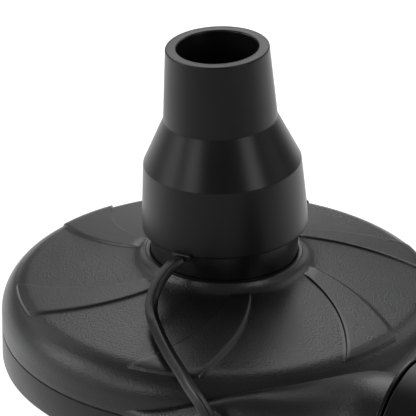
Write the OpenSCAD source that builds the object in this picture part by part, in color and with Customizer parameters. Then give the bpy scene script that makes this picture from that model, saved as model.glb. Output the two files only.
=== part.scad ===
// Electric air pump for inflatables: a round centrifugal blower drum standing on its
// motor housing, with a push-on nozzle on the suction collar and one on the outlet.
// Origin: where the impeller axis meets the surface the pump stands on. +Z is up,
// -Y is the front with the switch.

/* [Drum] */
// Outside radius of the blower drum
drum_r = 54.5; // [54:0.5:55.5]
// Height of the drum's underside above the standing surface
drum_floor_z = 53.5; // [53:0.5:55]
// Depth of the lower shell, from the parting line to the underside
lower_depth = 8.5; // [8:0.5:9.5]
// Wall thickness of both shells
wall = 2.2; // [2:0.1:2.4]
// Number of raised pinwheel pads on the top cover
pad_count = 6; // [3:1:6]
// Height of the pinwheel pads
pad_h = 0.55; // [0.4:0.05:1]

/* [Collars] */
// Outside radius of the suction and outlet collars
collar_r = 18; // [17.5:0.1:18.2]
// Wall thickness of the collars
collar_wall = 2.1; // [1.6:0.1:2.6]
// Height of the suction collar's rim above the parting line
collar_top = 34.5; // [33:0.5:35]

/* [Outlet] */
// Compass angle of the outlet, turned from +X
outlet_angle = -30; // [-35:1:-25]
// Distance of the outlet's centre line from the impeller axis
outlet_offset = 33.9; // [33.5:0.1:34.1]
// Height of the outlet's centre line above the parting line
outlet_rise = 2; // [1.8:0.1:2.2]
// Distance along the outlet from the impeller axis to the end of the neck
neck_end = 67.6; // [67.2:0.1:67.8]
// Half width of the neck
neck_r = 15.3; // [15.1:0.1:15.5]
// Outside radius of the flange at the end of the neck
neck_flange_r = 20.4; // [20:0.1:20.6]

/* [Nozzles] */
// Length of a nozzle
nozzle_len = 46.6; // [44:0.2:50]
// Outside radius at the open tip
tip_r = 12.5; // [12:0.1:13]
// Bore radius of the tip
tip_bore_r = 9.8; // [9:0.1:10.2]
// Outside radius at the rim that fits over the collar
rim_r = 20.3; // [20:0.1:21]
// Radius of the bore that fits over the collar
socket_r = 18.4; // [18.4:0.1:18.6]
// How far off straight the suction nozzle sits on its collar, in degrees
seat_lean = 3.2; // [0:0.1:3.2]

/* [Motor housing] */
// Outside radius of the motor housing
tub_r = 38; // [37:0.5:39]
// Height of the joint between the motor housing and its base cover
base_joint_z = 14; // [13:0.5:15]
// Vent slots on each side of the motor housing
vents_per_side = 9; // [5:2:11]

/* [Motor] */
// Outside radius of the motor can
can_r = 18; // [17.5:0.1:18.2]
// Length of the motor can
can_len = 40; // [39:0.5:40]
// Radius of the motor shaft
shaft_r = 1.585; // [1.5:0.005:1.6]
// Running clearance between the shaft and its bushes, on the radius
shaft_play = 0.035; // [0.02:0.005:0.06]

/* [Impeller] */
// Radius of the impeller
impeller_r = 42; // [38:0.5:43]
// Number of impeller blades
blade_count = 11; // [7:1:13]

/* [Hidden] */

$fn = 72;
eps = 0.05;           // contact gap between pieces of one body
far = 200;            // size of a cutting block

// ---- drum -------------------------------------------------------------------
seam_z = drum_floor_z + lower_depth;      // parting line of the two shells
disc_in_r = 22.3;                         // where the disc leaves the collar's lip
disc_out_r = 50.8;                        // where the disc meets the rim's shoulder
disc_in_h = 17.25;                        // disc heights above the parting line
disc_out_h = 11.44;
lip_h = 20;
pad_in_r = 20.2;                          // where the pads run out on the lip's fillet
roof_h = 14.6;                            // inner roof by the collar
rim_roof_h = 9;                           // inner roof by the rim
flange_r = 22.5;                          // flange of the suction collar

// ---- outlet horn: sections along the outlet, measured from the impeller axis ----
horn_side_end = 57;                       // where the horn reaches its full width
horn_crest_end = 62;                      // where it reaches its full height
neck_top = 16.2;                          // top and bottom of the neck from the
neck_bottom = 13.4;                       // parting line
horn_stations = [for (i = [0:12]) i * neck_end / 12];
bore_start = 58.5;                        // inner end of the outlet collar's seat
outlet_tube_r = 12.6;                     // part of the outlet collar in the neck
outlet_tube_in_r = 11.2;
nozzle_seat = neck_end + 1.6;             // rim of the outlet nozzle

// ---- fixings ------------------------------------------------------------------
shell_screw_r = 49.2;                     // circle of the shell screws
shell_screw_angles = [20, 80, 140, 200];
post_r = 32;                              // circle of the base cover's posts
post_angles = [0, 120, 240];
screw_r = 1.45;
screw_hole_r = 1.55;
screw_pilot_r = 1.45;
screw_head_r = 2.7;

// ---- heights in the motor ---------------------------------------------------------
gasket_h = 1;
can_top = drum_floor_z - gasket_h;
can_bottom = can_top - can_len;
boss_top = can_top + 3.5;
bell_bottom = can_bottom - 3.5;
hub_bottom = bell_bottom - 2.5;
motor_screw_r = 12.5;

// ---- suction nozzle seat ---------------------------------------------------------
seat_z = seam_z + 30;                     // point that the nozzle leans about
seat_rim = -2.9;                          // rim of the nozzle below that point
lean_angle = 202;                         // compass angle it leans towards
lug_angle = 240;                          // where the strap's lug sits on the rim

// ---- switch and gland --------------------------------------------------------------
pod_y = -42;                              // flat face that carries the switch
switch_z = 31;
gland_z = 30;
gland_bore_r = 3.1;
gland_seat_y = 39;

// ---- strap's eyelet ------------------------------------------------------------------
eyelet_along = 31.6;
eyelet_z = 57.7;
eyelet_out = 54.85;                       // middle of the eyelet, out from the axis
eyelet_t = 1.5;
strap_w = 2.6;
strap_t = 2.2;

// Route of the strap's middle line, from the nozzle's lug to the eyelet
strap_route = [
    [-10.7, -18.5, 87.6], [-12.4, -20.4, 87.2], [-14.2, -22.2, 85.9],
    [-15.9, -24.4, 83.9], [-17.0, -26.8, 81.8], [-17.3, -29.6, 80.0],
    [-16.8, -32.8, 78.9], [-15.9, -36.4, 78.4], [-14.7, -40.8, 77.8],
    [-12.8, -46.6, 77.0], [-10.3, -52.6, 75.9], [-8.0, -58.0, 74.6],
    [-5.5, -62.3, 72.9], [-3.3, -64.7, 70.2], [-1.5, -65.3, 67.2],
    [-0.5, -64.3, 64.8], [-0.06, -63.3, 62.6]];

// Routes of the leads inside the motor housing
switch_lead_route = [
    [0, -23, 36], [0, -21.8, 36], [-3, -21.2, 36], [-7, -20.4, 36], [-11, -18.8, 36],
    [-15, -16, 36], [-18.4, -12.8, 36], [-20.4, -11, 36], [-22, -10.6, 36]];
near_lead_route = [
    [-22, -4, 20], [-20.8, -4, 19.4], [-20.2, -3.8, 16], [-20, -3, 11],
    [-18.6, -1.6, 7.6], [-16.4, -0.4, 6.2], [-14, 0, 6], [-11.9, 0, 6]];
far_lead_route = [
    [-22, 4, 20], [-20.8, 4, 19.4], [-20.2, 4.4, 14], [-18.4, 6, 8], [-14, 10, 6],
    [-7, 13, 5.6], [0, 14, 5.6], [7, 12.4, 5.6], [12.6, 8, 5.8], [15, 4, 6],
    [14.8, 1, 6], [13.4, 0, 6], [11.9, 0, 6]];

// ---- functions ----------------------------------------------------------------------
function clamp01(x) = min(1, max(0, x));
function smooth(x) = let (t = clamp01(x)) t * t * (3 - 2 * t);
function unit(v) = v / norm(v);
function sign_of(x) = x < 0 ? -1 : 1;
function disc_h(r) =
    disc_in_h + (disc_out_h - disc_in_h) * (r - disc_in_r) / (disc_out_r - disc_in_r);

// Horn: distance of its outer side from the axis, its half width and its rise
function horn_outer(s) =
    drum_r - 0.5 + 1.6 * smooth(s / 14)
    - (drum_r + 1.1 - outlet_offset - neck_r) * smooth((s - 14) / (horn_side_end - 14));
function horn_half(s) =
    2.4 + (neck_r - 2.4) * smooth(pow(clamp01(s / horn_side_end), 1.75));
function horn_rise(s, up) =
    up > 0
    ? 2.6 + 7.4 * smooth((s - 8) / 28)
      + (neck_top - 10) * smooth(pow(clamp01(s / horn_crest_end), 3))
    : 7.4 + (neck_bottom - 7.4) * smooth(pow(clamp01(s / horn_crest_end), 2.8));
function horn_power(s) = 3 - pow(clamp01(s / horn_side_end), 2);

// One arched section of the horn, closed by two points just past the parting line
function arch(s, mid, half, rise, power, up) = concat(
    [[s, mid - up * half, seam_z - up]],
    [for (i = [0:12]) let (a = 90 + up * (90 - 15 * i), c = cos(a), q = max(0, sin(a)))
        [s, mid + half * sign_of(c) * pow(abs(c), 2 / power),
         seam_z + up * rise * pow(q, 2 / power)]],
    [[s, mid + up * half, seam_z - up]]);

// Frames along a route: the direction of travel at each of its points
function travel(route, i, first, last) =
    i == 0 ? unit(first)
    : i == len(route) - 1 ? unit(last)
    : unit(route[i + 1] - route[i - 1]);
function squared_to(v, t) = unit(v - (v * t) * t);

// ---- general solids -----------------------------------------------------------------
// A closed solid through rings that all have the same number of points
module loft(rings) {
    n = len(rings[0]);
    last = (len(rings) - 1) * n;
    polyhedron(
        points = [for (ring = rings) for (p = ring) p],
        faces = concat(
            [[for (j = [n - 1:-1:0]) j], [for (j = [0:n - 1]) last + j]],
            [for (i = [0:len(rings) - 2]) for (j = [0:n - 1])
                [i * n + j, i * n + (j + 1) % n, (i + 1) * n + (j + 1) % n]],
            [for (i = [0:len(rings) - 2]) for (j = [0:n - 1])
                [i * n + j, (i + 1) * n + (j + 1) % n, (i + 1) * n + j]]),
        convexity = 6);
}

// A round eight-sided lead along a route
module lead(route, r, first, last) {
    loft([for (i = [0:len(route) - 1])
        let (t = travel(route, i, first, last),
             side = squared_to([0.1, 0.2, 1], t),
             other = cross(t, side))
        [for (k = [0:7]) route[i] + r * (cos(45 * k) * side + sin(45 * k) * other)]]);
}

module ring(r_out, r_in, z0, z1) {
    translate([0, 0, z0])
        difference() {
            cylinder(r = r_out, h = z1 - z0);
            translate([0, 0, -1]) cylinder(r = r_in, h = z1 - z0 + 2);
        }
}

// Children are drawn with +X along the outlet and Y measured towards the drum's middle
module along_outlet() { rotate([0, 0, outlet_angle]) children(); }

// Children are drawn with +Z along the outlet, starting at the impeller axis
module on_outlet_axis(s) {
    along_outlet()
        translate([s, -outlet_offset, seam_z + outlet_rise])
            rotate([0, 90, 0]) children();
}

// Children are drawn with +Z along the axis of the leaning suction nozzle
module on_seat() {
    translate([0, 0, seat_z])
        rotate([0, 0, lean_angle]) rotate([0, seat_lean, 0]) rotate([0, 0, -lean_angle])
            children();
}

module around(angles) { for (a = angles) rotate([0, 0, a]) children(); }

module pan_screw(length) {
    cylinder(r = screw_r, h = length, $fn = 24);
    difference() {
        translate([0, 0, -1.8]) cylinder(r = screw_head_r, h = 1.8, $fn = 24);
        for (a = [0, 90])
            rotate([0, 0, a]) translate([-1.7, -0.35, -2]) cube([3.4, 0.7, 1.2]);
    }
}

module above_seam() { translate([-far, -far, seam_z]) cube([2 * far, 2 * far, far]); }
module below_seam() { translate([-far, -far, seam_z - far]) cube([2 * far, 2 * far, far]); }

// ---- shells ------------------------------------------------------------------------
// Outside of the horn; up is 1 for the top cover and -1 for the lower shell
module horn_outside(up) {
    along_outlet() loft([for (s = horn_stations)
        arch(s, horn_half(s) - horn_outer(s), horn_half(s),
             horn_rise(s, up), horn_power(s), up)]);
}

// Air passage of the horn, open to the drum on one side and to the neck at its end
module horn_inside(up) {
    stations = [for (i = [0:8]) 28 + i * (neck_end + 1 - 28) / 8];
    along_outlet() loft([for (s = stations)
        let (outer = wall - horn_outer(s),
             inner = -43 + 0.6 * (min(s, 58) - 20),
             roof = up > 0 ? 1.6 * (1 - smooth((s - 44) / 14)) : 0)
        arch(s, (outer + inner) / 2, (inner - outer) / 2,
             horn_rise(s, up) - wall - roof, horn_power(s), up)]);
}

module outlet_bore() {
    on_outlet_axis(bore_start) cylinder(r = outlet_tube_r + eps, h = 12);
}

// Outline of one pinwheel pad, swept back as it runs outwards
function pad_side(start, turn, r) =
    start + turn * (disc_out_r - r) + 0.0015 * pow(disc_out_r - r, 2);
module pad_outline() {
    steps = [for (i = [0:6]) pad_in_r + i * (disc_out_r - pad_in_r) / 6];
    polygon(concat(
        [for (r = steps) let (a = pad_side(4.3, 0.968, r)) r * [cos(a), sin(a)]],
        [for (a = [9, 14, 19]) disc_out_r * [cos(a), sin(a)]],
        [for (i = [6:-1:0]) let (r = steps[i], a = pad_side(23.4, 0.76, r))
            r * [cos(a), sin(a)]]));
}

module pinwheel_pads() {
    intersection() {
        rotate_extrude()
            translate([0, seam_z])
                polygon([[pad_in_r, disc_h(pad_in_r) - 1], [disc_out_r, disc_out_h - 1],
                         [disc_out_r, disc_out_h + pad_h],
                         [pad_in_r, disc_h(pad_in_r) + pad_h]]);
        translate([0, 0, seam_z])
            linear_extrude(30)
                for (i = [0:pad_count - 1]) rotate(i * 360 / pad_count) pad_outline();
    }
}

module cover_outside() {
    fillet_r = 3.4;
    rim_r = 8;
    rotate_extrude()
        translate([0, seam_z])
            polygon(concat(
                [[0, 0], [0, lip_h], [18.9, lip_h], [19.4, lip_h - 0.1]],
                [for (a = [195:15.8:259])
                    [22.9 + fillet_r * cos(a), 20.6 + fillet_r * sin(a)]],
                [for (a = [78.5:-11.2:0.1]) [46.5 + rim_r * cos(a), 4.15 + rim_r * sin(a)]],
                [[drum_r, 0]]));
}

module cover_inside() {
    rotate_extrude()
        translate([0, seam_z])
            polygon([[0, -1], [0, roof_h], [24, roof_h], [49.5, rim_roof_h],
                     [50.6, rim_roof_h - 0.7], [51.4, rim_roof_h - 2.2],
                     [drum_r - wall, rim_roof_h - 4],
                     [drum_r - wall, -1]]);
}

// The free-form shell is one solid; the round seats are cut into it afterwards
module top_cover() {
    color([0.09, 0.09, 0.095])
        difference() {
            resize([0, 0, 0])
                difference() {
                    union() {
                        difference() {
                            union() {
                                cover_outside();
                                horn_outside(1);
                            }
                            cover_inside();
                            horn_inside(1);
                        }
                        pinwheel_pads();
                        around(shell_screw_angles)
                            translate([shell_screw_r, 0, seam_z])
                                cylinder(r = 2.6, h = 9.4, $fn = 32);
                    }
                    below_seam();
                }
            translate([0, 0, seam_z - 1]) cylinder(r = collar_r + eps, h = lip_h + 3);
            outlet_bore();
            around(shell_screw_angles)
                translate([shell_screw_r, 0, seam_z - 1])
                    cylinder(r = screw_pilot_r, h = 8, $fn = 24);
        }
}

module tub_outside() {
    cylinder(r = tub_r, h = drum_floor_z + 1);
    // switch pod on the front
    translate([-11, pod_y, 18]) cube([22, 14, 26]);
    // cable gland boss on the back
    translate([0, 20, gland_z])
        rotate([-90, 0, 0]) cylinder(r = 9, h = gland_seat_y - 20, $fn = 48);
}

module tub_vents() {
    middle = (vents_per_side - 1) / 2;
    for (side = [0, 180], i = [0:vents_per_side - 1])
        if (i != middle)
            rotate([0, 0, side + 8 * (i - middle)])
                translate([tub_r - 4.5, -1.1, 21]) cube([10, 2.2, 24]);
}

module board_rails() {
    for (side = [-1, 1])
        intersection() {
            difference() {
                translate([-36, side > 0 ? 14 : -30, 16.5]) cube([15.5, 16, 27.5]);
                translate([-40, -13.9, 10]) cube([30, 27.8, 40]);
                translate([-36, side > 0 ? 16.6 : -46.6, 10]) cube([13, 30, 40]);
                translate([-23.6 - eps, -15 - eps, 15.9])
                    cube([1.6 + 2 * eps, 30 + 2 * eps, 40]);
            }
            cylinder(r = tub_r - 1, h = 60);
        }
    for (side = [-1, 1])
        intersection() {
            translate([-36, side > 0 ? 14 : -16.6, 16.5]) cube([12.4 - eps, 2.6, 27.5]);
            cylinder(r = tub_r - 1, h = 60);
        }
}

module clamp_shelf() {
    difference() {
        union() {
            translate([-10, 27, 21.5]) cube([20, 9.5, 5.2]);
            for (x = [-7, 7]) translate([x, 30, 26]) cylinder(r = 2.4, h = 7.4, $fn = 32);
        }
        for (x = [-7, 7])
            translate([x, 30, 24]) cylinder(r = screw_pilot_r, h = 12, $fn = 24);
        // room for the gland's inner flange
        translate([0, 33.9, gland_z]) rotate([-90, 0, 0]) cylinder(r = 7.4, h = 3);
    }
}

// Bowl of the blower with the lower half of the horn, up to the parting line
module lower_bowl() {
    resize([0, 0, 0])
        difference() {
            union() {
                rotate_extrude()
                    translate([0, drum_floor_z])
                        polygon([[0, 0], [drum_r - 1, 0], [drum_r, 1], [drum_r, 12], [0, 12]]);
                horn_outside(-1);
            }
            translate([0, 0, drum_floor_z + 2]) cylinder(r = drum_r - wall, h = 20);
            horn_inside(-1);
            above_seam();
        }
}

module lower_housing() {
    color([0.085, 0.085, 0.09])
        difference() {
            union() {
                lower_bowl();
                // flat seat for the strap's peg
                along_outlet()
                    translate([eyelet_along, -52, eyelet_z])
                        rotate([90, 0, 0]) cylinder(r = 4.2, h = 2.1, $fn = 48);
                difference() {
                    translate([0, 0, base_joint_z])
                        intersection() {
                            translate([0, 0, -base_joint_z]) tub_outside();
                            cylinder(r = 60, h = drum_floor_z + 1 - base_joint_z);
                        }
                    translate([0, 0, base_joint_z - 1])
                        cylinder(r = tub_r - 2, h = drum_floor_z - base_joint_z + 1);
                    // pocket behind the switch
                    translate([-9, pod_y + 2, 20]) cube([18, 14, 22]);
                    tub_vents();
                }
                around(shell_screw_angles)
                    translate([shell_screw_r, 0, drum_floor_z + 1])
                        cylinder(r = 3.2, h = lower_depth - 1, $fn = 32);
                // posts for the base cover, tied to the wall
                around(post_angles) {
                    translate([post_r, 0, 17.6]) cylinder(r = 2.8, h = drum_floor_z - 17, $fn = 32);
                    translate([post_r + 1, -0.8, 17.6]) cube([4, 1.6, drum_floor_z - 17]);
                }
                board_rails();
                clamp_shelf();
            }
            // shaft and motor fixing
            translate([0, 0, 40]) cylinder(r = 6.5 + eps, h = 30);
            for (x = [-1, 1])
                translate([x * motor_screw_r, 0, 40]) cylinder(r = screw_hole_r, h = 30, $fn = 24);
            around(shell_screw_angles)
                translate([shell_screw_r, 0, drum_floor_z - 1]) {
                    cylinder(r = screw_hole_r, h = 20, $fn = 24);
                    cylinder(r = screw_head_r + 0.3, h = 4, $fn = 32);
                }
            around(post_angles)
                translate([post_r, 0, 15]) cylinder(r = screw_pilot_r, h = 14, $fn = 24);
            // cut-out for the switch, hole for the gland, hole for the peg
            translate([-6.6, pod_y - 1, switch_z - 9.4]) cube([13.2, 6, 18.8]);
            translate([0, 20, gland_z])
                rotate([-90, 0, 0]) cylinder(r = 5.4, h = 30, $fn = 48);
            along_outlet()
                translate([eyelet_along, -51.7, eyelet_z])
                    rotate([90, 0, 0]) cylinder(r = 1.5, h = 10, $fn = 24);
            outlet_bore();
        }
}

module inlet_collar() {
    color([0.05, 0.05, 0.055]) {
        ring(collar_r, collar_r - collar_wall, seam_z + roof_h - 1.8, seam_z + collar_top);
        ring(flange_r, collar_r - 1, seam_z + roof_h - 1.8, seam_z + roof_h);
        // finger guard
        translate([0, 0, seam_z + 17]) {
            ring(5, 3.4, 0, 2.4);
            ring(10.6, 9.4, 0, 2.4);
            for (a = [0:60:300])
                rotate([0, 0, a]) translate([4.2, -0.7, 0]) cube([12.4, 1.4, 2.4]);
        }
    }
}

module outlet_collar() {
    color([0.05, 0.05, 0.055])
        on_outlet_axis(0) {
            ring(outlet_tube_r, outlet_tube_in_r, bore_start, neck_end + 0.6);
            ring(neck_flange_r, outlet_tube_in_r, neck_end + eps, neck_end + 1);
            ring(collar_r, collar_r - collar_wall, neck_end + 0.6, nozzle_seat + 7.4);
        }
}

module shell_screws() {
    color([0.6, 0.6, 0.62])
        around(shell_screw_angles)
            translate([shell_screw_r, 0, drum_floor_z + 3]) pan_screw(11);
}

// ---- base ---------------------------------------------------------------------------
module base_cover() {
    color([0.085, 0.085, 0.09])
        difference() {
            union() {
                translate([0, 0, 1]) cylinder(r1 = tub_r - 2, r2 = tub_r, h = 2);
                translate([0, 0, 3]) cylinder(r = tub_r, h = base_joint_z - 3);
                translate([0, 0, base_joint_z - 1]) cylinder(r = tub_r - 2 - eps, h = 3.4);
                around(post_angles)
                    translate([post_r, 0, 2]) cylinder(r = 3.4, h = 15.55, $fn = 32);
            }
            difference() {
                translate([0, 0, 3.2]) cylinder(r = tub_r - 4, h = 30);
                ring(7.2, 5.6, 0, 8);
                around(post_angles)
                    translate([post_r, 0, 0]) cylinder(r = 3.4, h = 17.6, $fn = 32);
            }
            translate([0, 0, -1]) cylinder(r = 26.2, h = 2.9);
            // vents between the pad and the rim
            for (i = [0:29])
                if (i % 10 != 0)
                    rotate([0, 0, 12 * i]) translate([28, -0.9, 0]) cube([4.6, 1.8, 8]);
            around(post_angles)
                translate([post_r, 0, 0]) {
                    cylinder(r = screw_hole_r, h = 20, $fn = 24);
                    cylinder(r = screw_head_r + 0.3, h = 4, $fn = 32);
                }
        }
}

module base_pad() {
    color([0.03, 0.03, 0.03])
        difference() {
            cylinder(r = 26, h = 1.9);
            for (r = [10, 17, 24]) ring(r + 0.6, r - 0.6, -1, 0.6);
        }
}

module base_screws() {
    color([0.6, 0.6, 0.62])
        around(post_angles) translate([post_r, 0, 4]) pan_screw(20);
}

// ---- motor: parts that stand still ------------------------------------------------------
module motor_gasket() {
    color([0.12, 0.12, 0.12])
        difference() {
            ring(can_r - 1, 7, can_top, drum_floor_z);
            for (x = [-1, 1])
                translate([x * motor_screw_r, 0, 40]) cylinder(r = 1.7, h = 30, $fn = 24);
        }
}

module motor_can() {
    color([0.62, 0.63, 0.65])
        difference() {
            union() {
                translate([0, 0, can_bottom]) cylinder(r = can_r, h = can_len);
                translate([0, 0, can_top - 1]) cylinder(r = 6.5, h = boss_top - can_top + 1);
            }
            translate([0, 0, -1]) cylinder(r = can_r - 1, h = can_top - 1.2 + 1);
            translate([0, 0, 20]) cylinder(r = 4, h = 60);
            for (x = [-1, 1])
                translate([x * motor_screw_r, 0, 40]) cylinder(r = screw_pilot_r, h = 30, $fn = 24);
            for (a = [45:90:315])
                rotate([0, 0, a]) translate([9, -1.5, can_top - 3]) cube([5, 3, 5]);
        }
}

module motor_screws() {
    color([0.7, 0.7, 0.72])
        for (x = [-1, 1])
            translate([x * motor_screw_r, 0, drum_floor_z + 2])
                rotate([180, 0, 0]) pan_screw(6);
}

module motor_magnets() {
    color([0.24, 0.24, 0.26])
        for (side = [0, 180])
            rotate([0, 0, side])
                rotate([0, 0, -62])
                    translate([0, 0, can_bottom + 9.5])
                        rotate_extrude(angle = 124)
                            translate([13.7, 0]) square([can_r - 1 - 13.7, 26]);
}

module front_bush() {
    color([0.66, 0.5, 0.25])
        ring(4, shaft_r + shaft_play, can_top - 1, boss_top);
}

module rear_bush() {
    color([0.66, 0.5, 0.25])
        ring(4, shaft_r + shaft_play, hub_bottom + 1, bell_bottom + 3.3);
}

module motor_end_bell() {
    color([0.16, 0.16, 0.17])
        difference() {
            union() {
                translate([0, 0, bell_bottom]) cylinder(r = can_r, h = can_bottom - bell_bottom);
                ring(can_r - 1 - eps, can_r - 2.4, can_bottom - 0.5, can_bottom + 4);
                translate([0, 0, hub_bottom]) cylinder(r = 5.5, h = can_bottom - hub_bottom);
            }
            translate([0, 0, -1]) cylinder(r = 4, h = 40);
            for (x = [-1, 1])
                translate([x * 11.5 - 0.45, -2.5, 0]) cube([0.9, 5, 30]);
            for (a = [60, 120, 240, 300])
                rotate([0, 0, a]) translate([11, 0, 0]) cylinder(r = 2, h = 40, $fn = 24);
        }
}

module brush_tubes() {
    color([0.78, 0.62, 0.3])
        for (side = [0, 180])
            rotate([0, 0, side])
                difference() {
                    translate([6, -2.9, can_bottom]) cube([8.4, 5.8, 6.2]);
                    translate([5, -2.1, can_bottom + 0.9]) cube([10.4, 4.2, 4.4]);
                }
}

module carbon_brushes() {
    color([0.13, 0.13, 0.14])
        for (side = [0, 180])
            rotate([0, 0, side])
                difference() {
                    translate([4.2, -2.05, can_bottom + 0.95]) cube([6.6, 4.1, 4.3]);
                    translate([0, 0, 0]) cylinder(r = 4.65, h = 60);
                }
}

module brush_springs() {
    color([0.75, 0.75, 0.76])
        for (side = [0, 180])
            rotate([0, 0, side])
                translate([0, 0, can_bottom + 3.1]) {
                    turns = 3.5;
                    steps = 42;
                    points = [for (i = [0:steps])
                        let (a = 360 * turns * i / steps)
                        [10.95 + 3.2 * i / steps, 1.35 * cos(a), 1.35 * sin(a)]];
                    lead(points, 0.14, [0, 0, 1], [0, 0, 1]);
                }
}

module motor_terminals() {
    color([0.8, 0.65, 0.35])
        for (x = [-1, 1])
            translate([x * 11.5 - 0.4, -2.4, bell_bottom - 4.5]) cube([0.8, 4.8, 8]);
}

// ---- motor: parts that turn -----------------------------------------------------------
module motor_shaft() {
    color([0.72, 0.73, 0.75])
        translate([0, 0, hub_bottom + 0.4]) cylinder(r = shaft_r, h = 61.6, $fn = 48);
}

core_bottom = can_bottom + 12.5;
core_top = core_bottom + 20;

module core_outline() {
    difference() {
        circle(r = 13.1);
        for (a = [0:72:288])
            rotate(a) {
                translate([10.4, -0.9]) square([4, 1.8]);
                translate([7.6, -3]) square([3.6, 6]);
            }
    }
}

module armature_core() {
    color([0.45, 0.45, 0.47])
        translate([0, 0, core_bottom])
            linear_extrude(core_top - core_bottom)
                difference() {
                    core_outline();
                    circle(r = shaft_r);
                }
}

module armature_windings() {
    color([0.72, 0.36, 0.16])
        union() {
            for (a = [0:72:288])
                rotate([0, 0, a])
                    translate([7.7, -2.9, core_bottom - 2]) cube([3.4, 5.8, core_top - core_bottom + 4]);
            ring(11.4, 4.4, core_bottom - 3.6, core_bottom - eps);
            ring(11.4, 4.4, core_top + eps, core_top + 3.4);
        }
}

module commutator() {
    color([0.76, 0.45, 0.25])
        difference() {
            ring(4.6, shaft_r, can_bottom + 0.6, can_bottom + 8.4);
            for (a = [0:72:288])
                rotate([0, 0, a + 36]) translate([3.6, -0.2, can_bottom]) cube([3, 0.4, 7]);
        }
}

module thrust_washers() {
    color([0.86, 0.86, 0.82]) {
        ring(3.4, shaft_r, can_top - 2, can_top - 1.15);
        ring(3.4, shaft_r, bell_bottom + 3.4, bell_bottom + 3.9);
    }
}

// ---- impeller -----------------------------------------------------------------------
impeller_z = drum_floor_z + 4.8;
blade_h = 9.2;

// Backward-curved blade: a strip of a circle between the eye and the rim
module blade() {
    intersection() {
        difference() {
            circle(r = impeller_r);
            circle(r = 15);
        }
        translate([-0.25, -29.8])
            difference() {
                circle(r = 34.6);
                circle(r = 33.4);
            }
        translate([1, -40]) square([60, 50]);
    }
}

module impeller() {
    color([0.84, 0.84, 0.82])
        difference() {
            union() {
                translate([0, 0, impeller_z]) cylinder(r = impeller_r, h = 1.4);
                translate([0, 0, impeller_z]) cylinder(r = 5.5, h = 7);
                translate([0, 0, impeller_z + 1])
                    linear_extrude(blade_h)
                        for (i = [0:blade_count - 1]) rotate(i * 360 / blade_count) blade();
            }
            translate([0, 0, impeller_z - 1]) cylinder(r = shaft_r, h = 20, $fn = 48);
        }
}

module impeller_nut() {
    color([0.78, 0.78, 0.8])
        translate([0, 0, impeller_z + 7])
            difference() {
                cylinder(r = 3, h = 2.2, $fn = 6);
                translate([0, 0, -1]) cylinder(r = shaft_r, h = 5, $fn = 48);
            }
}

// ---- switch ---------------------------------------------------------------------------
rocker_pivot_y = pod_y - 1;
rocker_rest = -10;

module switch_housing() {
    color([0.06, 0.06, 0.06])
        difference() {
            union() {
                translate([-7.8, pod_y - 2, switch_z - 11]) cube([15.6, 2, 22]);
                translate([-6.5, pod_y, switch_z - 9.3]) cube([13, 13, 18.6]);
            }
            translate([-5.6, pod_y - 3, switch_z - 8.9]) cube([11.2, 11, 17.8]);
            translate([-6.2, rocker_pivot_y, switch_z])
                rotate([0, 90, 0]) cylinder(r = 1.25, h = 12.4, $fn = 32);
            for (z = [-5, 5])
                translate([-2.4, pod_y + 7, switch_z + z - 0.4]) cube([4.8, 10, 0.8]);
        }
}

// Side view of the rocker: Y is depth into the switch, Z along its length
module rocker_outline() {
    polygon([[-3.4, -7.8], [-2, 0], [-3.4, 7.8], [0.5, 7.4], [3.4, 3], [3.4, -3], [0.5, -7.4]]);
}

module switch_rocker() {
    color([0.1, 0.1, 0.1])
        translate([0, rocker_pivot_y, switch_z])
            rotate([rocker_rest, 0, 0]) {
                translate([-5.4, 0, 0])
                    rotate([90, 0, 90]) linear_extrude(10.8) rocker_outline();
                translate([-6.1, 0, 0]) rotate([0, 90, 0]) cylinder(r = 1.2, h = 12.2, $fn = 32);
            }
}

module switch_terminals() {
    color([0.8, 0.65, 0.35])
        for (z = [-5, 5])
            translate([-2.4, pod_y + 9, switch_z + z - 0.4]) cube([4.8, 10, 0.8]);
}

// ---- electrics ----------------------------------------------------------------------
module circuit_board() {
    color([0.12, 0.35, 0.2])
        difference() {
            translate([-23.6, -15, 16]) cube([1.6, 30, 27]);
            for (y = [-11, 11])
                translate([-30, y, 40]) rotate([0, 90, 0]) cylinder(r = 1.2, h = 20, $fn = 24);
        }
}

module bridge_rectifier() {
    color([0.1, 0.1, 0.1]) translate([-27.6, -8, 30]) cube([4, 15, 10]);
}

module smoothing_capacitor() {
    color([0.15, 0.2, 0.45])
        translate([-27.9, 0, 16.5]) {
            cylinder(r = 4.2, h = 11);
            translate([0, 0, 10.9]) cylinder(r1 = 4.2, r2 = 3.6, h = 0.7);
        }
}

module switch_lead() { color([0.1, 0.1, 0.1]) lead(switch_lead_route, 0.8, [0, 1, 0], [-1, 0, 0]); }
module motor_lead_near() { color([0.6, 0.08, 0.06]) lead(near_lead_route, 0.8, [1, 0, 0], [1, 0, 0]); }
module motor_lead_far() { color([0.1, 0.1, 0.1]) lead(far_lead_route, 0.8, [1, 0, 0], [-1, 0, 0]); }

// ---- mains inlet --------------------------------------------------------------------
module cable_gland() {
    color([0.04, 0.04, 0.04])
        translate([0, 0, gland_z])
            rotate([-90, 0, 0])
                difference() {
                    union() {
                        translate([0, 0, tub_r - 3.8]) cylinder(r = 7, h = 0.9, $fn = 48);
                        translate([0, 0, tub_r - 3]) cylinder(r = 5.4 - eps, h = 5, $fn = 48);
                        translate([0, 0, gland_seat_y]) cylinder(r = 7.6, h = 2, $fn = 48);
                        translate([0, 0, gland_seat_y + 2])
                            cylinder(r1 = 5.8, r2 = 4.4, h = 18, $fn = 48);
                    }
                    cylinder(r = gland_bore_r, h = 80, $fn = 48);
                    for (i = [0:3])
                        translate([0, 0, gland_seat_y + 4.5 + 3.6 * i])
                            ring(8, 4.1, 0, 1.3);
                }
}

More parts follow.
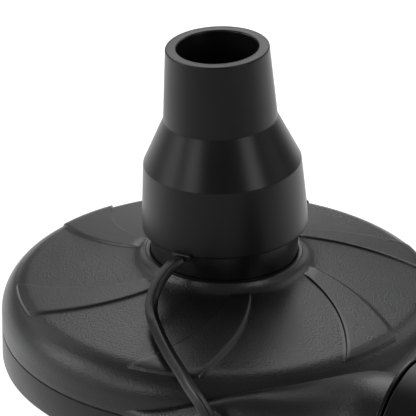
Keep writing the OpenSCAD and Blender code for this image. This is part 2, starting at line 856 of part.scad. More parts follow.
module cord_clamp() {
    color([0.07, 0.07, 0.07])
        difference() {
            translate([-10, 27, 33.4]) cube([20, 6, 2.6]);
            for (x = [-7, 7]) translate([x, 30, 30]) cylinder(r = screw_hole_r, h = 10, $fn = 24);
        }
}

module clamp_screws() {
    color([0.7, 0.7, 0.72])
        for (x = [-7, 7]) translate([x, 30, 36]) rotate([180, 0, 0]) pan_screw(9);
}

// ---- nozzles ------------------------------------------------------------------------
// Three-stage nozzle with its rim at z = 0 and its open tip at z = nozzle_len
module nozzle() {
    rotate_extrude($fn = 96)
        polygon([
            [socket_r, 0], [rim_r - 0.4, 0], [rim_r, 0.5], [19.2, nozzle_len - 29.7],
            [13.8, nozzle_len - 18.2], [tip_r, nozzle_len - 0.5], [tip_r - 0.4, nozzle_len],
            [tip_bore_r + 0.2, nozzle_len], [tip_bore_r, nozzle_len - 0.3],
            [tip_bore_r, nozzle_len - 21.6], [16.4, nozzle_len - 31],
            [16.4, 9], [socket_r, 9]]);
}

module inlet_nozzle() {
    color([0.06, 0.06, 0.06])
        on_seat()
            translate([0, 0, seat_rim]) {
                nozzle();
                // lug that the strap is moulded to
                rotate([0, 0, lug_angle])
                    translate([19, -2.4, -0.9]) cube([2.4, 4.8, 1.8]);
            }
}

module outlet_nozzle() {
    color([0.06, 0.06, 0.06]) on_outlet_axis(nozzle_seat) nozzle();
}

// ---- tether strap -------------------------------------------------------------------
module on_eyelet() {
    along_outlet()
        translate([eyelet_along, -eyelet_out, eyelet_z]) rotate([90, 0, 0]) children();
}

module strap_peg() {
    color([0.06, 0.06, 0.06])
        on_eyelet() {
            translate([0, 0, -3]) cylinder(r = 1.5, h = 3.9, $fn = 32);
            translate([0, 0, 0.85]) cylinder(r = 3, h = 0.8, $fn = 48);
            translate([0, 0, 1.65]) cylinder(r1 = 3, r2 = 2, h = 0.7, $fn = 48);
        }
}

module strap_eyelet() {
    color([0.07, 0.07, 0.07])
        on_eyelet()
            difference() {
                union() {
                    translate([0, 0, -eyelet_t / 2]) cylinder(r = 3.3, h = eyelet_t, $fn = 48);
                    translate([-strap_w / 2, 0, -eyelet_t / 2])
                        cube([strap_w, 62.6 - eyelet_z, eyelet_t]);
                }
                translate([0, 0, -5]) cylinder(r = 1.55, h = 10, $fn = 32);
            }
}

module tether_strap() {
    n = len(strap_route) - 1;
    outward = [-sin(30), -cos(30), 0];
    corner = 0.45;
    color([0.07, 0.07, 0.07])
        loft([for (i = [0:n])
            let (t = travel(strap_route, i, [cos(lug_angle), sin(lug_angle), 0], [0, 0, -1]),
                 lean = (1 - i / n) * [-0.45, -0.25, 0.85] + (i / n) * outward,
                 thick = i == 0 ? 1.8 : i == n ? eyelet_t : strap_t,
                 face = squared_to(lean, t),
                 side = cross(t, face))
            [for (q = [[1, -1], [1, 1], [-1, 1], [-1, -1]]) for (k = [0, 1])
                let (first = (q[0] == q[1]) == (k == 1))
                strap_route[i] + q[0] * (strap_w / 2 - (first ? corner : 0)) * side
                    + q[1] * (thick / 2 - (first ? 0 : corner)) * face]]);
}

top_cover();
lower_housing();
inlet_collar();
outlet_collar();
shell_screws();
base_cover();
base_pad();
base_screws();
motor_gasket();
motor_can();
motor_screws();
motor_magnets();
front_bush();
rear_bush();
motor_end_bell();
brush_tubes();
carbon_brushes();
brush_springs();
motor_terminals();
motor_shaft();
armature_core();
armature_windings();
commutator();
thrust_washers();
impeller();
impeller_nut();
switch_housing();
switch_rocker();
switch_terminals();
circuit_board();
bridge_rectifier();
smoothing_capacitor();
switch_lead();
motor_lead_near();
motor_lead_far();
cable_gland();
cord_clamp();
clamp_screws();
inlet_nozzle();
outlet_nozzle();
strap_peg();
strap_eyelet();
tether_strap();
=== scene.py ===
"""Looks of the electric air pump: a centrifugal blower drum with a pinwheel cover, two push-on
nozzles and a tether strap. Metres, in the same frame as the CAD model."""
import math
import bpy
import numpy as np
from mathutils import Matrix, Vector


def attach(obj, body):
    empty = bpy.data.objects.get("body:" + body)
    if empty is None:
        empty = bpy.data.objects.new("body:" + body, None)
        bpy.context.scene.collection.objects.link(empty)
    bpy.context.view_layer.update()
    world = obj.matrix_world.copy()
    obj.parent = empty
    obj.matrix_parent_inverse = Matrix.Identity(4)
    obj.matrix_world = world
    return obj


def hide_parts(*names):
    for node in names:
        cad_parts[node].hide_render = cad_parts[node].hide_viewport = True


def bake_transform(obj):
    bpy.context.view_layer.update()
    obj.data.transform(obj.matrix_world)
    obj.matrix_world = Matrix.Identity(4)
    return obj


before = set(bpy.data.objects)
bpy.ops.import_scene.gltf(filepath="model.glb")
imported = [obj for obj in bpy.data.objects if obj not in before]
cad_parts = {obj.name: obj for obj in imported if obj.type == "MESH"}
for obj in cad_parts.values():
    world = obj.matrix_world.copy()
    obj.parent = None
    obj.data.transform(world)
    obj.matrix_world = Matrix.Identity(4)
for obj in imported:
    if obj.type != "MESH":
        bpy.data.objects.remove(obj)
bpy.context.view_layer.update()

MM = 0.001
scene = bpy.context.scene

# ---- sizes, in millimetres, as in the CAD model ---------------------------------------
DRUM_R = 54.5            # outside of the drum
SEAM_Z = 62.0            # parting line between the top cover and the lower shell
OUT_ANGLE = math.radians(-30)
OUT_OFF = 33.9           # outlet axis off the impeller axis
OUT_Z = 64.0
NECK_END = 67.6          # along the outlet, from the impeller axis
NECK_R = 15.3
NOZZLE_SEAT = 69.2
NOZZLE_LEN = 46.6
NOZZLE_SUNK = 2.9        # the suction nozzle's mouth below the point it leans about
SEAT_Z = 92.0
LEAN = math.radians(3.2)
LEAN_DIR = math.radians(202)
LUG = math.radians(240)
COLLAR_R = 18.0
PROUD = 0.2              # the outer skins stand this far off the model's facets

# ---- camera ------------------------------------------------------------------------------
def make_camera():
    target = Vector((-4.08, 0.0, 92.74)) * MM
    elevation, roll, distance = math.radians(25.24), math.radians(0.57), 0.8
    fwd = Vector((0, math.cos(elevation), -math.sin(elevation)))
    right = Vector((1, 0, 0))
    up = right.cross(fwd)
    right2 = right * math.cos(roll) + up * math.sin(roll)
    up2 = up * math.cos(roll) - right * math.sin(roll)
    data = bpy.data.cameras.new("camera")
    data.lens, data.sensor_width = 284.1, 36.0
    data.clip_start, data.clip_end = 0.05, 60
    cam = bpy.data.objects.new("camera", data)
    scene.collection.objects.link(cam)
    m = Matrix((right2, up2, -fwd)).transposed().to_4x4()
    m.translation = target - fwd * distance
    cam.matrix_world = m
    scene.camera = cam


make_camera()

# ---- mesh helpers --------------------------------------------------------------------------
def add_mesh(name, verts, faces, body, replaces=(), smooth=True, angle=35, mats=None,
             mat_index=None):
    me = bpy.data.meshes.new(name)
    me.from_pydata([tuple(float(c) * MM for c in v) for v in verts], [], faces)
    me.validate()
    me.update()
    ob = bpy.data.objects.new(name, me)
    scene.collection.objects.link(ob)
    if smooth:
        me.shade_smooth()
        if angle:
            sharp_edges(me, angle)
    if mats:
        for m in mats:
            me.materials.append(m)
        if mat_index is not None:
            for p, k in zip(me.polygons, mat_index):
                p.material_index = k
    if body:
        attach(ob, body)
    if replaces:
        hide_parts(*replaces)
    return ob


def sharp_edges(me, angle):
    """Marks the edges that are sharper than angle, in degrees."""
    me.set_sharp_from_angle(angle=math.radians(angle))


def grid_faces(rows, cols, wrap=True, close=False, flip=False):
    """Quads of a grid of points; wrap joins the columns round, close the rows."""
    out = []
    nr = rows if close else rows - 1
    for i in range(nr):
        a, b = i * cols, ((i + 1) % rows) * cols
        for j in range(cols if wrap else cols - 1):
            k = (j + 1) % cols
            f = (a + j, a + k, b + k, b + j)
            out.append(f[::-1] if flip else f)
    return out


def smooth01(x):
    """Eases from 0 to 1."""
    x = min(1.0, max(0.0, x))
    return x * x * (3 - 2 * x)


def round_profile(points, closed=True):
    """Rounds each corner of a profile: a point is (r, z) or (r, z, radius)."""
    out = []
    n = len(points)
    for i, p in enumerate(points):
        rad = p[2] if len(p) > 2 else 0.0
        q = Vector((p[0], p[1]))
        if not rad or (not closed and i in (0, n - 1)):
            out.append((q.x, q.y))
            continue
        a = Vector(points[(i - 1) % n][:2]) - q
        b = Vector(points[(i + 1) % n][:2]) - q
        half = a.angle(b) / 2
        cut = min(rad / math.tan(half), a.length * 0.48, b.length * 0.48)
        r = cut * math.tan(half)
        a.normalize(), b.normalize()
        steps = 5 if r > 0.6 else 3
        centre = q + (a + b).normalized() * (r / math.sin(half))
        start, end = q + a * cut - centre, q + b * cut - centre
        turn = start.angle_signed(end)
        for k in range(steps + 1):
            v = start.copy()
            v.rotate(Matrix.Rotation(-turn * k / steps, 2))
            out.append((centre.x + v.x, centre.y + v.y))
    return out


def revolve(profile, n=192, transform=None, closed=True):
    """Verts and faces of a profile [(r, z)] turned about Z."""
    verts = []
    for r, z in profile:
        for j in range(n):
            a = 2 * math.pi * j / n
            verts.append(Vector((r * math.cos(a), r * math.sin(a), z)))
    faces = grid_faces(len(profile), n, True, closed)
    if transform is not None:
        verts = [transform @ v for v in verts]
    return verts, faces


OUT_D = Vector((math.cos(OUT_ANGLE), math.sin(OUT_ANGLE), 0))
OUT_N = Vector((-math.sin(OUT_ANGLE), math.cos(OUT_ANGLE), 0))


def out_point(s, off, z):
    """The point s along the outlet, off sideways and z up."""
    return OUT_D * s + OUT_N * off + Vector((0, 0, z))


def out_matrix(s, off=-OUT_OFF, z=OUT_Z):
    """+Z of the piece along the outlet, starting s from the impeller axis."""
    m = Matrix((OUT_N, Vector((0, 0, 1)), OUT_D)).transposed().to_4x4()
    m.translation = out_point(s, off, z)
    return m


def seat_matrix():
    """The suction nozzle's place: on its collar, a little crooked."""
    axis = Vector((-math.sin(LEAN_DIR), math.cos(LEAN_DIR), 0))
    return Matrix.Translation((0, 0, SEAT_Z)) @ Matrix.Rotation(LEAN, 4, axis)


# ---- materials ------------------------------------------------------------------------------
class Nodes:
    """A little helper that builds one node material."""
    def __init__(self, name, base, rough, **sockets):
        self.mat = bpy.data.materials.new(name)
        self.mat.use_nodes = True
        self.t = self.mat.node_tree
        self.b = self.t.nodes["Principled BSDF"]
        self.b.inputs["Base Color"].default_value = (*base, 1)
        self.b.inputs["Roughness"].default_value = rough
        for k, v in sockets.items():
            self.b.inputs[k.replace("_", " ")].default_value = v
        self.co = self.t.nodes.new("ShaderNodeTexCoord").outputs["Object"]

    def node(self, kind, **values):
        n = self.t.nodes.new("ShaderNode" + kind)
        for k, v in values.items():
            if k in n.inputs:
                n.inputs[k].default_value = v
            else:
                setattr(n, k, v)
        return n

    def link(self, a, b):
        self.t.links.new(a, b)

    def noise(self, scale, detail=2.0, rough=0.5, stretch=None):
        n = self.node("TexNoise", Scale=scale, Detail=detail, Roughness=rough)
        src = self.co
        if stretch:
            m = self.node("Mapping", Scale=stretch)
            self.link(src, m.inputs["Vector"])
            src = m.outputs[0]
        self.link(src, n.inputs["Vector"])
        return n.outputs["Fac"]

    def remap(self, value, low, high, to_low=0.0, to_high=1.0):
        m = self.node("MapRange")
        for k, v in zip((1, 2, 3, 4), (low, high, to_low, to_high)):
            m.inputs[k].default_value = v
        self.link(value, m.inputs[0])
        return m.outputs[0]

    def mix(self, fac, a, b):
        m = self.node("Mix", data_type="RGBA")
        self.link(fac, m.inputs[0])
        m.inputs[6].default_value = (*a, 1)
        m.inputs[7].default_value = (*b, 1)
        return m.outputs[2]

    def colour(self, fac, a, b):
        self.link(self.mix(fac, a, b), self.b.inputs["Base Color"])

    def rough(self, fac, a, b):
        self.link(self.remap(fac, 0.3, 0.7, a, b), self.b.inputs["Roughness"])

    def bump(self, heights):
        """heights: list of (socket, strength, distance in metres)."""
        normal = None
        for h, strength, distance in heights:
            n = self.node("Bump", Strength=strength, Distance=distance)
            self.link(h, n.inputs["Height"])
            if normal is not None:
                self.link(normal, n.inputs["Normal"])
            normal = n.outputs[0]
        self.link(normal, self.b.inputs["Normal"])


def plastic(name, base, rough, grain=0.25, grain_scale=2600, depth=0.00006, spread=0.06,
            scuffs=True, **sockets):
    m = Nodes(name, base, rough, **sockets)
    fine = m.noise(grain_scale, 2.0, 0.55)
    broad = m.noise(38, 3.0, 0.55)
    lighter = tuple(min(1, c * 1.28 + 0.002) for c in base)
    m.colour(m.remap(broad, 0.35, 0.7), base, lighter)
    m.rough(broad, rough - spread, rough + spread)
    heights = [(fine, grain, depth)]
    if scuffs:
        scratch = m.noise(900, 1.0, 0.5, stretch=(1.0, 0.06, 0.4))
        heights.append((m.remap(scratch, 0.66, 0.74), 0.12, 0.00002))
    m.bump(heights)
    return m.mat


def metal(name, base, rough, lines=(1, 1, 40), strength=0.12):
    m = Nodes(name, base, rough, Metallic=1.0)
    brushed = m.noise(300, 2.0, 0.5, stretch=lines)
    broad = m.noise(90, 3.0, 0.5)
    m.colour(m.remap(broad, 0.3, 0.7), tuple(c * 0.82 for c in base), base)
    m.rough(broad, rough - 0.06, rough + 0.1)
    m.bump([(brushed, strength, 0.00003)])
    return m.mat


SHELL_GRAIN = plastic("shell_grain", (0.007, 0.007, 0.0075), 0.31, 0.7, 2300, 0.00012,
                      scuffs=False, Specular_IOR_Level=0.58)
SHELL_PAD = plastic("shell_pad", (0.0075, 0.0075, 0.008), 0.32, 0.6, 2300, 0.00011,
                    scuffs=False, Specular_IOR_Level=0.58)
SHELL_LOW = plastic("shell_lower", (0.007, 0.007, 0.0075), 0.33, 0.45, 2400, 0.00009)
COLLAR = plastic("collar_gloss", (0.004, 0.004, 0.0045), 0.24, 0.10, 1800, 0.00004,
                 Specular_IOR_Level=0.32)
SOFT = plastic("nozzle_soft", (0.004, 0.004, 0.004), 0.33, 0.2, 1500, 0.00005,
               Specular_IOR_Level=0.34)
STRAP = plastic("strap_soft", (0.008, 0.008, 0.0085), 0.30, 0.12, 1600, 0.00004)
RUBBER = plastic("rubber", (0.016, 0.016, 0.016), 0.62, 0.3, 1500, 0.00008)
SWITCH = plastic("switch_gloss", (0.012, 0.012, 0.012), 0.22, 0.05, 1500, 0.00003)
DARK = plastic("dark_plastic", (0.03, 0.03, 0.032), 0.5, 0.2, 1800, 0.00005, scuffs=False)
WHITE = plastic("natural_plastic", (0.62, 0.62, 0.58), 0.42, 0.1, 1500, 0.00004, scuffs=False)
BOARD = plastic("board_lacquer", (0.02, 0.11, 0.045), 0.3, 0.15, 900, 0.00004, scuffs=False)
CARBON = plastic("carbon", (0.02, 0.02, 0.021), 0.55, 0.4, 2500, 0.00006, scuffs=False)
SLEEVE = plastic("sleeve_blue", (0.02, 0.03, 0.12), 0.3, 0.08, 900, 0.00003, scuffs=False)
RED = plastic("lead_red", (0.28, 0.012, 0.01), 0.38, 0.06, 900, 0.00003, scuffs=False)
ZINC = metal("zinc_steel", (0.58, 0.58, 0.6), 0.32)
CAN = metal("can_steel", (0.62, 0.62, 0.64), 0.28, (1, 1, 30))
CORE = metal("core_laminations", (0.34, 0.34, 0.36), 0.45, (0.2, 0.2, 8), 0.5)
MAGNET = metal("magnet", (0.12, 0.12, 0.13), 0.55, (1, 1, 1))
BRONZE = metal("bronze", (0.55, 0.38, 0.18), 0.4, (1, 1, 1))
COPPER = metal("copper_wire", (0.68, 0.28, 0.1), 0.35, (1, 1, 14), 0.5)
BRASS = metal("brass", (0.75, 0.56, 0.24), 0.3)

KEPT = {"motor_gasket": RUBBER, "motor_can": CAN, "motor_screws": ZINC, "motor_magnets": MAGNET,
        "front_bush": BRONZE, "rear_bush": BRONZE, "motor_end_bell": DARK, "brush_tubes": BRASS,
        "carbon_brushes": CARBON, "brush_springs": ZINC, "motor_terminals": BRASS,
        "motor_shaft": CAN, "armature_core": CORE, "armature_windings": COPPER,
        "commutator": COPPER, "thrust_washers": WHITE, "impeller": WHITE, "impeller_nut": ZINC,
        "switch_housing": SWITCH, "switch_rocker": SWITCH, "switch_terminals": BRASS,
        "circuit_board": BOARD, "bridge_rectifier": DARK, "smoothing_capacitor": SLEEVE,
        "switch_lead": DARK, "motor_lead_near": RED, "motor_lead_far": DARK,
        "cable_gland": RUBBER, "cord_clamp": DARK, "clamp_screws": ZINC, "base_pad": RUBBER,
        "shell_screws": ZINC, "base_screws": ZINC, "base_cover": SHELL_LOW,
        "lower_housing": SHELL_LOW, "inlet_collar": COLLAR, "outlet_collar": COLLAR,
        "strap_peg": COLLAR, "strap_eyelet": STRAP}
for node_name, mat in KEPT.items():
    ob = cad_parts[node_name]
    ob.data.materials.clear()
    ob.data.materials.append(mat)

# ---- tether strap ---------------------------------------------------------------------------
ROUTE = [(-10.7, -18.5, 87.6), (-12.4, -20.4, 87.2), (-14.2, -22.2, 85.9),
         (-15.9, -24.4, 83.9), (-17.0, -26.8, 81.8), (-17.3, -29.6, 80.0),
         (-16.8, -32.8, 78.9), (-15.9, -36.4, 78.4), (-14.7, -40.8, 77.8),
         (-12.8, -46.6, 77.0), (-10.3, -52.6, 75.9), (-8.0, -58.0, 74.6),
         (-5.5, -62.3, 72.9), (-3.3, -64.7, 70.2), (-1.5, -65.3, 67.2),
         (-0.5, -64.3, 64.8), (-0.06, -63.3, 62.6)]
STRAP_W, STRAP_T = 2.6, 2.2


def catmull(points, per):
    pts = [Vector(p) for p in points]
    pts = [pts[0] * 2 - pts[1]] + pts + [pts[-1] * 2 - pts[-2]]
    out = []
    for i in range(1, len(pts) - 2):
        p0, p1, p2, p3 = pts[i - 1:i + 3]
        for k in range(per):
            t = k / per
            out.append(0.5 * (2 * p1 + (p2 - p0) * t + (2 * p0 - 5 * p1 + 4 * p2 - p3) * t * t
                              + (3 * p1 - p0 - 3 * p2 + p3) * t ** 3))
    out.append(pts[-2])
    return out


def make_strap():
    """A flat strap along ROUTE, thinner at both ends, its face turning outwards on the way."""
    line = catmull(ROUTE, 6)
    n = len(line) - 1
    outward = Vector((-0.5, -math.cos(math.radians(30)), 0))
    edge = 0.4
    verts, ring = [], []
    for q, c in (((1, 1), 0), ((-1, 1), 90), ((-1, -1), 180), ((1, -1), 270)):
        for k in range(4):
            a = math.radians(c + 30 * k)
            ring.append((q[0] * (STRAP_W / 2 - edge) + edge * math.cos(a),
                         (q[1] * (STRAP_T / 2 - edge) + edge * math.sin(a)) / STRAP_T))
    for i, p in enumerate(line):
        t = (line[min(i + 1, n)] - line[max(i - 1, 0)]).normalized()
        f = i / n
        lean = Vector((-0.45, -0.25, 0.85)) * (1 - f) + outward * f
        thick = STRAP_T - 0.4 * (1 - smooth01(i / 5)) - 0.7 * (1 - smooth01((n - i) / 6))
        face = (lean - t * lean.dot(t)).normalized()
        side = t.cross(face)
        for x, y in ring:
            verts.append(p + side * x + face * y * thick)
    m = len(ring)
    faces = grid_faces(n + 1, m, True, False, flip=True)
    faces.append(tuple(range(m)))
    faces.append(tuple(n * m + j for j in range(m))[::-1])
    ob = add_mesh("tether_strap_skin", verts, faces, None,
                  ["tether_strap"], angle=50, mats=[STRAP])
    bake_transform(ob)


make_strap()

# ---- nozzles --------------------------------------------------------------------------------
# from the mouth, up the outside to the open tip and back down the inside: r, z, rounding
NOZZLE = round_profile([
    (18.4, 0, 0.15), (20.25, 0, 0.35), (20.23, 0.6), (20.12, 4.4), (19.28, NOZZLE_LEN - 30.5),
    (19.2, NOZZLE_LEN - 29.7, 0.4), (18.85, NOZZLE_LEN - 29.0), (14.2, NOZZLE_LEN - 19.1),
    (13.8, NOZZLE_LEN - 18.2, 0.6), (13.72, NOZZLE_LEN - 17.0), (12.55, NOZZLE_LEN - 0.7),
    (12.5, NOZZLE_LEN, 0.3), (9.8, NOZZLE_LEN, 0.4), (9.8, NOZZLE_LEN - 21.6, 1.0),
    (16.4, NOZZLE_LEN - 31, 1.0), (16.4, 9, 0.2), (18.4, 9, 0.2)])


def make_nozzles():
    m = seat_matrix() @ Matrix.Translation((0, 0, -NOZZLE_SUNK))
    v, f = revolve(NOZZLE, 192, m)
    add_mesh("inlet_nozzle_skin", v, f, "inlet_nozzle", ["inlet_nozzle"],
             angle=50, mats=[SOFT])
    v, f = revolve(NOZZLE, 192, out_matrix(NOZZLE_SEAT))
    add_mesh("outlet_nozzle_skin", v, f, "outlet_nozzle", ["outlet_nozzle"],
             angle=50, mats=[SOFT])
    # squared lug that the strap is moulded to
    w, t, x0, x1 = 2.4, 0.9, 18.9, 21.3
    verts = []
    prof = round_profile([(x0, -t), (x1, -t, 0.3), (x1, t, 0.3), (x0, t)])
    cols = [-w, -w + 0.25, w - 0.25, w]
    for k, y in enumerate(cols):
        shrink = 0.22 if k in (0, 3) else 0.0       # rounds the lug's two ends
        for x, z in prof:
            zz = z * (1 - shrink / t)
            verts.append(m @ (Matrix.Rotation(LUG, 4, "Z") @ Vector((min(x, x1 - shrink), y, zz))))
    n = len(prof)
    faces = grid_faces(4, n, True)
    faces += [tuple(range(n))[::-1], tuple(3 * n + j for j in range(n))]
    add_mesh("nozzle_lug", verts, faces, "inlet_nozzle", angle=40, mats=[STRAP])


make_nozzles()

# ---- collars ------------------------------------------------------------------------------
def make_collars():
    # sleeve over the suction collar, and the whole outlet collar with its flange
    prof = round_profile([(15.86, 81.2), (18.03, 81.2), (18.03, 96.55, 0.3), (15.86, 96.55, 0.3)])
    v, f = revolve(prof, 192)
    add_mesh("inlet_collar_sleeve", v, f, "housing", angle=50, mats=[COLLAR])
    n = NECK_END
    prof = round_profile([
        (11.2, 58.5), (12.6, 58.5), (12.6, n + 0.05), (20.4, n + 0.05, 0.25), (20.4, n + 1.0, 0.25),
        (COLLAR_R, n + 1.0, 0.3), (COLLAR_R, NOZZLE_SEAT + 7.4, 0.3), (15.9, NOZZLE_SEAT + 7.4, 0.3),
        (15.9, n + 1.0), (11.2, n + 1.0, 0.2)])
    v, f = revolve(prof, 192, out_matrix(0))
    add_mesh("outlet_collar_skin", v, f, "housing", ["outlet_collar"],
             angle=50, mats=[COLLAR])


make_collars()

# ---- cover --------------------------------------------------------------------------------
DISC_IN_R = 22.3
DISC_IN_H, DISC_OUT_H = 17.25, 11.44
LIP_R, COVE_H, COVE_R = 19.5, 1.98, 0.85
RIM_R, RIM_Z, RIM_START = 8, 4.15, 48.1
PAD_COUNT = 6
PAD_H = 0.55
PAD_OUT, PAD_IN = 50.8, 20.7


def disc_h(r):
    """Height of the sloping disc above the seam."""
    return DISC_IN_H + (DISC_OUT_H - DISC_IN_H) * (r - DISC_IN_R) / (PAD_OUT - DISC_IN_R)


def cove_h(r):
    """Height of the disc, with the cove that runs up to the collar's lip."""
    return disc_h(r) + COVE_H * math.exp(-(r - LIP_R) / COVE_R)


def rim_h(r):
    """Height of the disc and of the rim that is rounded over from it."""
    if r < RIM_START:
        return disc_h(r)
    return RIM_Z + math.sqrt(RIM_R ** 2 - (r - DRUM_R + RIM_R) ** 2)


def cover_profile():
    """Rows of the cover from the collar's hole outwards and down to the seam: (r, z)."""
    rows = [(18.06, 19.2), (18.06, 19.75), (18.15, 19.93), (18.35, 20.02), (18.9, 20.02)]
    rows += [(19.25, 19.97), (19.42, 19.87)]
    for r in (19.5, 19.6, 19.72, 19.86, 20.02, 20.22, 20.45, 20.75, 21.1, 21.5, 22.0, 22.45):
        rows.append((r, cove_h(r)))
    for r in np.linspace(22.9, 47.6, 26):
        rows.append((float(r), cove_h(r)))
    # rounded over from the disc to the wall, with extra rows where the pads end
    for r in (RIM_START, 48.6, 49.1, 49.6, 50.1, 50.45, 50.62, 50.72, 50.82, 50.92, 51.1):
        rows.append((r, rim_h(r)))
    for a in np.linspace(52, 0, 14):
        rows.append((DRUM_R - RIM_R + (RIM_R + PROUD) * math.cos(math.radians(a)),
                     RIM_Z + RIM_R * math.sin(math.radians(a))))
    edge = DRUM_R + PROUD
    rows += [(edge, 2.0), (edge, 0.5), (edge - 0.07, 0.25), (edge - 0.28, 0.15)]
    return [(r, z + SEAM_Z) for r, z in rows]


def sweep(r, ccw):
    """Angle, in degrees, of a pad's clockwise or anticlockwise edge at radius r."""
    u = max(0.0, PAD_OUT - r)
    return (23.44 + 0.768 * u + 0.0012 * u * u) if ccw else (4.3 + 0.961 * u + 0.0018 * u * u)


def pad_level(r):
    """0 off the pads and 1 on them, by radius."""
    if r <= PAD_IN or r >= PAD_OUT + 0.2:
        return 0.0
    return smooth01((r - PAD_IN) / 3.0) * (1 - smooth01((r - PAD_OUT + 0.1) / 0.3))


def make_cover():
    rows = cover_profile()
    inner = [(52.3, SEAM_Z + 0.14), (52.3, SEAM_Z + 6.8), (51.6, SEAM_Z + 8.1),
             (49.5, SEAM_Z + 9.0), (24.0, SEAM_Z + 14.6), (18.06, SEAM_Z + 14.6)]
    verts, levels = [], []
    for r, z in rows + inner:
        w = math.degrees(0.2 / max(r, 20))          # half the width of a pad's edge
        level = pad_level(r) if (r, z) in rows else 0.0
        drop = 0.25 * max(0.0, disc_h(r) - rim_h(r)) if level else 0.0
        cols = []
        for k in range(PAD_COUNT):
            a0 = 360 / PAD_COUNT * k + sweep(r, False)
            a1 = 360 / PAD_COUNT * k + sweep(r, True)
            a2 = a0 + 360 / PAD_COUNT
            cols += [(a0 - w, 0.0), (a0 - 0.4 * w, 0.1), (a0 + 0.4 * w, 0.9), (a0 + w, 1.0)]
            cols += [(a, 1.0) for a in np.linspace(a0 + w, a1 - w, 14)[1:-1]]
            cols += [(a1 - w, 1.0), (a1 - 0.4 * w, 0.9), (a1 + 0.4 * w, 0.1), (a1 + w, 0.0)]
            cols += [(a, 0.0) for a in np.linspace(a1 + w, a2 - w, 30)[1:-1]]
        n_cols = len(cols)
        for a, lv in cols:
            a = math.radians(a)
            verts.append((r * math.cos(a), r * math.sin(a), z + (PAD_H + drop) * lv * level))
            levels.append(lv * level)
    faces = grid_faces(len(rows) + len(inner), n_cols, True, True)
    index = [1 if min(levels[i] for i in f) > 0.8 else 0 for f in faces]
    add_mesh("cover_skin", verts, faces, "housing", ["top_cover"],
             angle=48, mats=[SHELL_GRAIN, SHELL_PAD], mat_index=index)


def make_bowl():
    """Skin of the lower shell, from the underside's edge up to the seam."""
    edge = DRUM_R + PROUD
    prof = [(edge - 3.5, 53.45), (edge - 1.2, 53.42), (edge - 0.6, 53.6), (edge - 0.15, 54.05),
            (edge, 54.6), (edge, 58.0), (edge, 61.5), (edge - 0.07, 61.75), (edge - 0.3, 61.86),
            (edge - 0.6, 61.86)]
    v, f = revolve(prof, 240, closed=False)
    add_mesh("bowl_skin", v, f, "housing", angle=48, mats=[SHELL_LOW])


make_cover()
make_bowl()


# ---- outlet horn -------------------------------------------------------------------------
def horn_outer(s):
    """How far out the horn's outer wall is, s along the outlet."""
    return (DRUM_R - 0.5 + 1.6 * smooth01(s / 14)
            - (DRUM_R + 1.1 - OUT_OFF - NECK_R) * smooth01((s - 14) / 43))


def horn_half(s):
    """Half the horn's width."""
    return 2.4 + (NECK_R - 2.4) * smooth01((max(0, s) / 57) ** 1.75)


def horn_rise(s, up):
    """The horn's height over the seam, or its depth below it where up is negative."""
    s = max(0, s)
    if up > 0:
        return 2.6 + 7.4 * smooth01((s - 8) / 28) + 6.2 * smooth01((s / 62) ** 3)
    return 7.4 + 6.0 * smooth01((s / 62) ** 2.8)


def make_horn(up):
    """Half of the horn: up is 1 on the top cover and -1 on the lower shell."""
    stations = list(np.linspace(0, NECK_END - 0.3, 72)) + [NECK_END - 0.1, NECK_END]
    arcs = np.linspace(180, 0, 61)
    verts = []
    for s in stations:
        grow = PROUD - (0.25 if s == NECK_END else 0.0)
        half = horn_half(s) + grow
        rise = horn_rise(s, up) + grow
        mid = horn_half(s) - horn_outer(s)
        power = 2.3 - 0.3 * min(1, s / 57) ** 2
        for a in arcs:
            c, q = math.cos(math.radians(a)), max(0, math.sin(math.radians(a)))
            y = mid + half * math.copysign(abs(c) ** (2 / power), c)
            z = SEAM_Z + up * (0.14 + (rise - 0.14) * q ** (2 / power))
            verts.append(out_point(s, y, z))
    m = len(arcs)
    # face of the neck round the collar's tube, and the seat behind it
    r = 12.66
    split = math.degrees(math.asin((OUT_Z - SEAM_Z - up * 0.14) / r))
    for s in (NECK_END, 58.5):
        for a in np.linspace(180 + up * split, -up * split, m):
            y, z = r * math.cos(math.radians(a)), r * math.sin(math.radians(a))
            verts.append(out_point(s, -OUT_OFF + y, OUT_Z + up * z))
    faces = grid_faces(len(stations) + 2, m, False, False, flip=up < 0)
    name = "horn_upper" if up > 0 else "horn_lower"
    mat = SHELL_GRAIN if up > 0 else SHELL_LOW
    add_mesh(name, verts, faces, "housing", angle=50, mats=[mat])


make_horn(1)
make_horn(-1)

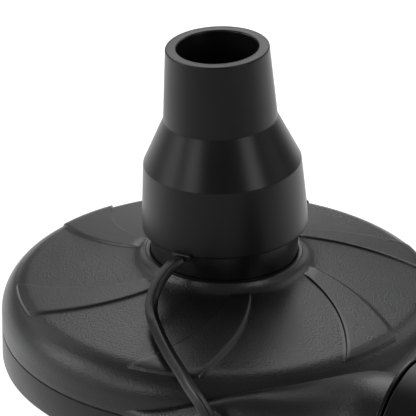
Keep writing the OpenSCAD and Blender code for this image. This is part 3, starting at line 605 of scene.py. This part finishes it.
# ---- stage --------------------------------------------------------------------------------
def make_stage():
    """A pale floor that glows as painted light, its glow dimmer towards the camera as painted shade,
    and a soft even sky.
    """
    m = Nodes("floor_glow_painted", (0.6, 0.6, 0.6), 0.9)
    m.b.inputs["Emission Color"].default_value = (1, 1, 1, 1)
    place = m.node("SeparateXYZ")
    m.link(m.co, place.inputs[0])
    # painted light and shade: the floor glows, and the glow is dimmed towards the camera as a
    # painted shadow in front of the pump
    m.link(m.remap(place.outputs[1], -0.14, 0.06, 0.18, 0.75), m.b.inputs["Emission Strength"])
    me = bpy.data.meshes.new("floor")
    me.from_pydata([(-8, -6, 0), (8, -6, 0), (8, 14, 0), (-8, 14, 0)], [], [(0, 1, 2, 3)])
    me.materials.append(m.mat)
    ob = bpy.data.objects.new("floor", me)
    scene.collection.objects.link(ob)
    world = bpy.data.worlds.new("studio")
    world.use_nodes = True
    world.node_tree.nodes["Background"].inputs[0].default_value = (1, 1, 1, 1)
    world.node_tree.nodes["Background"].inputs[1].default_value = 0.18
    scene.world = world
    scene.view_settings.view_transform = "Standard"


def softbox(name, azimuth, elevation, size, power):
    """A square light 1.1 m away on the compass angle and elevation given, in degrees."""
    data = bpy.data.lights.new(name, "AREA")
    data.shape = "RECTANGLE"
    data.size, data.size_y = size, size
    data.energy = power
    ob = bpy.data.objects.new(name, data)
    scene.collection.objects.link(ob)
    az, el = math.radians(azimuth), math.radians(elevation)
    target = Vector((0, 0, 0.08))
    ob.location = (1.1 * math.cos(el) * math.cos(az), 1.1 * math.cos(el) * math.sin(az),
                   0.08 + 1.1 * math.sin(el))
    ob.rotation_euler = (target - ob.location).to_track_quat("-Z", "Y").to_euler()


make_stage()
# name, compass angle, elevation, size and power
for light in (
        ("left", 180, 25, 0.55, 2.7),
        ("left_back", 140, 35, 0.55, 0.9),
        ("back", 90, 35, 0.55, 2.0),
        ("right_back", 40, 35, 0.55, 1.0),
        ("right", 0, 25, 0.55, 0.42),
        ("low_left", 190, 6, 0.55, 0.5),
        ("back_top", 90, 60, 0.55, 1.2),
        ("front_left", 221, 20, 0.36, 1.25),
        ("front_right", 318, 20, 0.36, 1.3)):
    softbox(*light)
